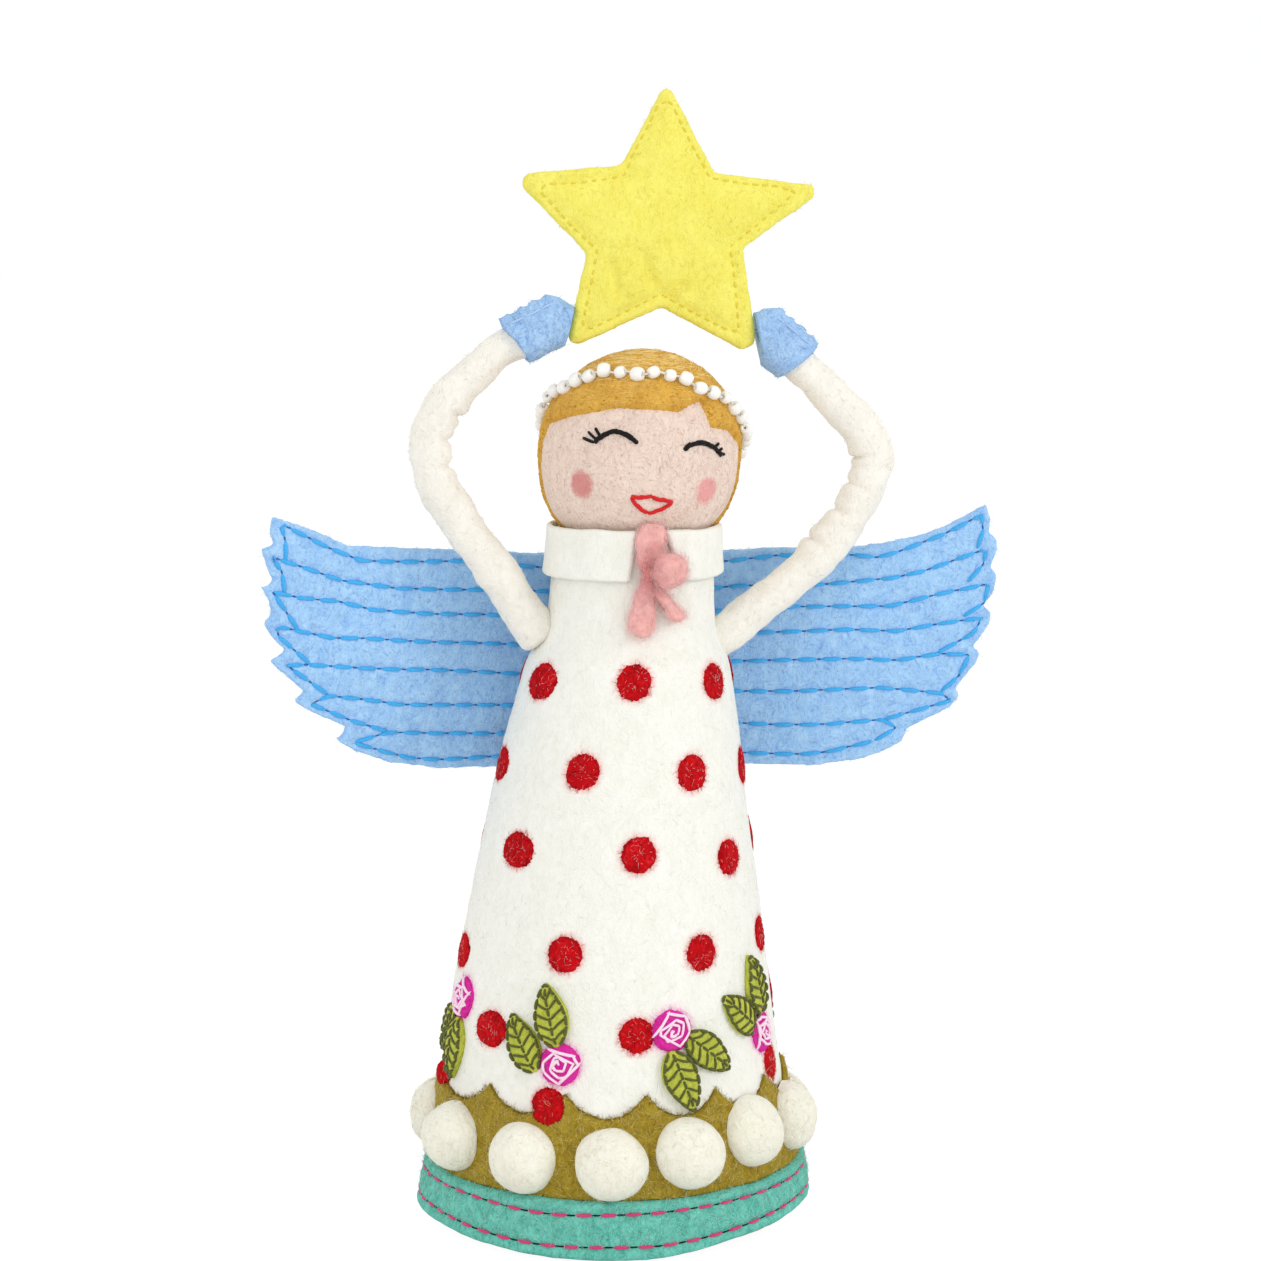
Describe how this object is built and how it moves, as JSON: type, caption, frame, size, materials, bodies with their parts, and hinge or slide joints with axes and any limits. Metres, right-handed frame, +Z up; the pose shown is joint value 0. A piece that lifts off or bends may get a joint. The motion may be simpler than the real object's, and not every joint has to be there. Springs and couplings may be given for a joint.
{
  "type": "angel tree topper",
  "caption": "Wool felt angel on a hollow cone that slips over a tree tip, with flexing wings and wired arms that hold a stuffed star overhead.",
  "frame": {"origin": "centre of the open base at floor level", "axes": "+Z up through the cone to the star, face towards -Y, +X to the viewer's right"},
  "size_m": [0.1759, 0.0967, 0.2672],
  "materials": {
    "cream_felt": "matte wool felt",
    "lining_card": "matte",
    "teal_felt": "matte wool felt",
    "olive_wool": "needled wool",
    "ball_wool": "felted wool",
    "leaf_felt": "matte wool felt",
    "rose_felt": "needled wool with pale thread",
    "dot_wool": "needled wool",
    "face_felt": "felted wool",
    "hair_wool": "felted wool",
    "bead": "gloss",
    "bow_wool": "loose wool",
    "wire": "drawn",
    "arm_wool": "felted wool",
    "blue_felt": "matte wool felt",
    "star_felt": "matte wool felt",
    "filling": "loose fibre",
    "black_thread": "stitched thread",
    "red_thread": "stitched thread",
    "blue_thread": "stitched thread",
    "pink_thread": "stitched thread",
    "yellow_thread": "stitched thread",
    "green_thread": "stitched thread"
  },
  "bodies": {
    "figure": {"dress": "cream_felt", "cone_lining": "lining_card", "hem_band": "teal_felt", "hem_edge": "olive_wool", "hem_ball_01": "ball_wool", "hem_ball_02": "ball_wool", "hem_ball_03": "ball_wool", "hem_ball_04": "ball_wool", "hem_ball_05": "ball_wool", "hem_ball_06": "ball_wool", "hem_ball_07": "ball_wool", "hem_ball_08": "ball_wool", "hem_ball_09": "ball_wool", "hem_ball_10": "ball_wool", "hem_ball_11": "ball_wool", "hem_ball_12": "ball_wool", "hem_ball_13": "ball_wool", "rose_spray_1": "leaf_felt", "rose_spray_2": "leaf_felt", "rose_spray_3": "leaf_felt", "rose_spray_4": "leaf_felt", "rose_spray_5": "leaf_felt", "rose_spray_6": "leaf_felt", "rose_spray_7": "leaf_felt", "rose_spray_8": "leaf_felt", "head": "face_felt", "hair": "hair_wool", "bead_circlet": "bead", "collar": "cream_felt", "bow": "bow_wool"},
    "arms": {"arm_wire": "wire", "arm_left": "arm_wool", "arm_right": "arm_wool", "mitt_left": "blue_felt", "mitt_right": "blue_felt"},
    "star": {"star_front": "star_felt", "star_back": "star_felt", "star_filling": "filling"},
    "wing_left": {"wing_left": "blue_felt"},
    "wing_right": {"wing_right": "blue_felt"}
  },
  "joints": [
    {"name": "shoulder_swing", "type": "hinge", "parent": "figure", "child": "arms", "pos_m": [0.0043, 0, 0.1365], "axis": [1, 0, 0], "range_deg": [-10, 35]},
    {"name": "star_tilt", "type": "hinge", "parent": "arms", "child": "star", "pos_m": [0.0115, 0, 0.21222], "axis": [1, 0, 0], "range_deg": [-20, 20]},
    {"name": "wing_left_flex", "type": "hinge", "parent": "figure", "child": "wing_left", "pos_m": [-0.0046, 0.02932, 0.103], "axis": [-0.0745, 0.162, -0.984], "range_deg": [0, 60]},
    {"name": "wing_right_flex", "type": "hinge", "parent": "figure", "child": "wing_right", "pos_m": [0.01111, 0.02932, 0.103], "axis": [-0.0123, -0.1624, 0.9866], "range_deg": [0, 60]}
  ]
}
